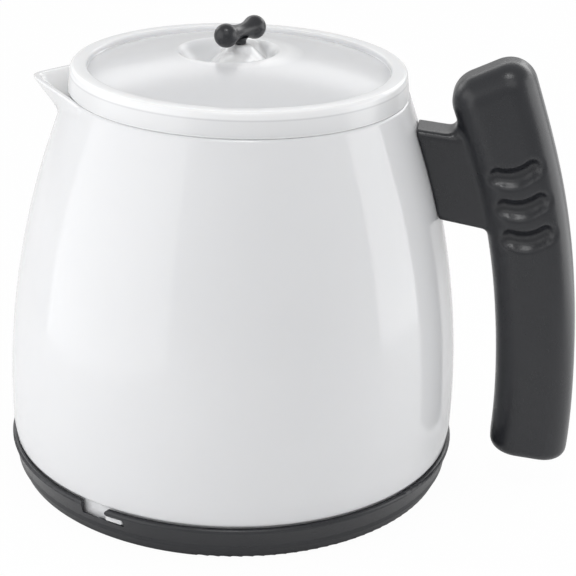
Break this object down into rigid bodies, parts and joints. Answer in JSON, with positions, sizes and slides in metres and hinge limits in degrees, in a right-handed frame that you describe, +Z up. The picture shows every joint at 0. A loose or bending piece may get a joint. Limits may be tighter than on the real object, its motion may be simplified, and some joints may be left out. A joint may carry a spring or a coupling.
{
  "type": "microwave tea kettle",
  "caption": "Tall tapered white kettle on a dark twist-lock base, with a V spout, a lift-off domed lid with a turning finger knob, and a hanging side grip.",
  "frame": {"origin": "on the kettle's axis, in the plane of the foot that stands on the table", "axes": "+Z up along the vessel's axis, +X out through the handle, -X out through the spout"},
  "size_m": [0.241, 0.191, 0.1932],
  "materials": {
    "charcoal_plastic": "fine satin moulded texture",
    "white_plastic": "glossy opaque white",
    "frosted_plastic": "slightly translucent greyish white",
    "silicone": "matt silicone"
  },
  "bodies": {
    "base": {"base": "charcoal_plastic", "base_seal": "silicone"},
    "vessel": {"vessel": "white_plastic", "handle": "charcoal_plastic"},
    "lid": {"lid": "frosted_plastic"},
    "lid_knob": {"lid_knob": "charcoal_plastic"}
  },
  "joints": [
    {"name": "vessel_twist", "type": "hinge", "parent": "base", "child": "vessel", "pos_m": [0, 0, 0], "axis": [0, 0, 1], "range_deg": [-6.5, 0]},
    {"name": "lid_lift", "type": "slide", "parent": "vessel", "child": "lid", "axis": [0, 0, 1], "range_m": [0, 0.045]},
    {"name": "knob_turn", "type": "hinge", "parent": "lid", "child": "lid_knob", "pos_m": [0, 0, 0.1884], "axis": [0, 0, 1], "continuous": true}
  ]
}
